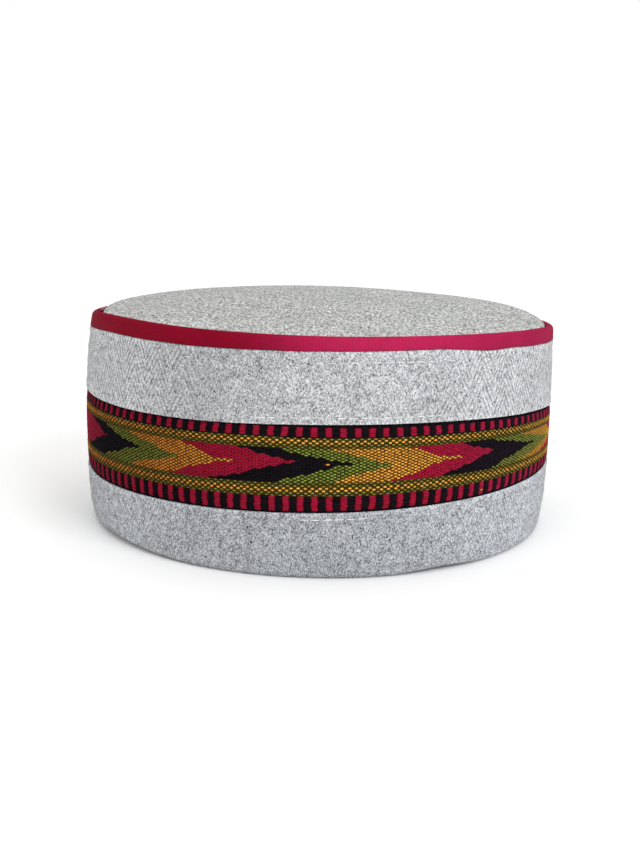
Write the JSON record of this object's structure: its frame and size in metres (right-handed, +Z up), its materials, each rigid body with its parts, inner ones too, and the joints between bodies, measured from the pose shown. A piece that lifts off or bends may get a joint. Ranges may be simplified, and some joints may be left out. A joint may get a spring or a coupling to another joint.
{
  "type": "kullu cap",
  "caption": "Grey wool kullu cap: domed crown, turned-up cuff with a woven chevron band, and a crimson bound edge.",
  "frame": {"origin": "centre of the rim, on the surface that the cap rests on", "axes": "+Z up through the crown, -Y towards the front of the cap, +X to the wearer's left"},
  "size_m": [0.1899, 0.2033, 0.0887],
  "materials": {
    "grey_wool": "light grey melange wool twill, matt",
    "crown_wool": "light grey melange wool, matt",
    "inner_wool": "plain grey wool, matt",
    "woven_yarn": "woven red, black, green and gold yarn, matt",
    "crimson_cotton": "ribbed crimson cotton binding, matt"
  },
  "bodies": {
    "root": {"crown_panel": "crown_wool", "side_wall": "inner_wool", "lower_strip": "grey_wool", "woven_band": "woven_yarn", "upper_strip": "grey_wool", "edge_binding": "crimson_cotton"}
  },
  "joints": []
}
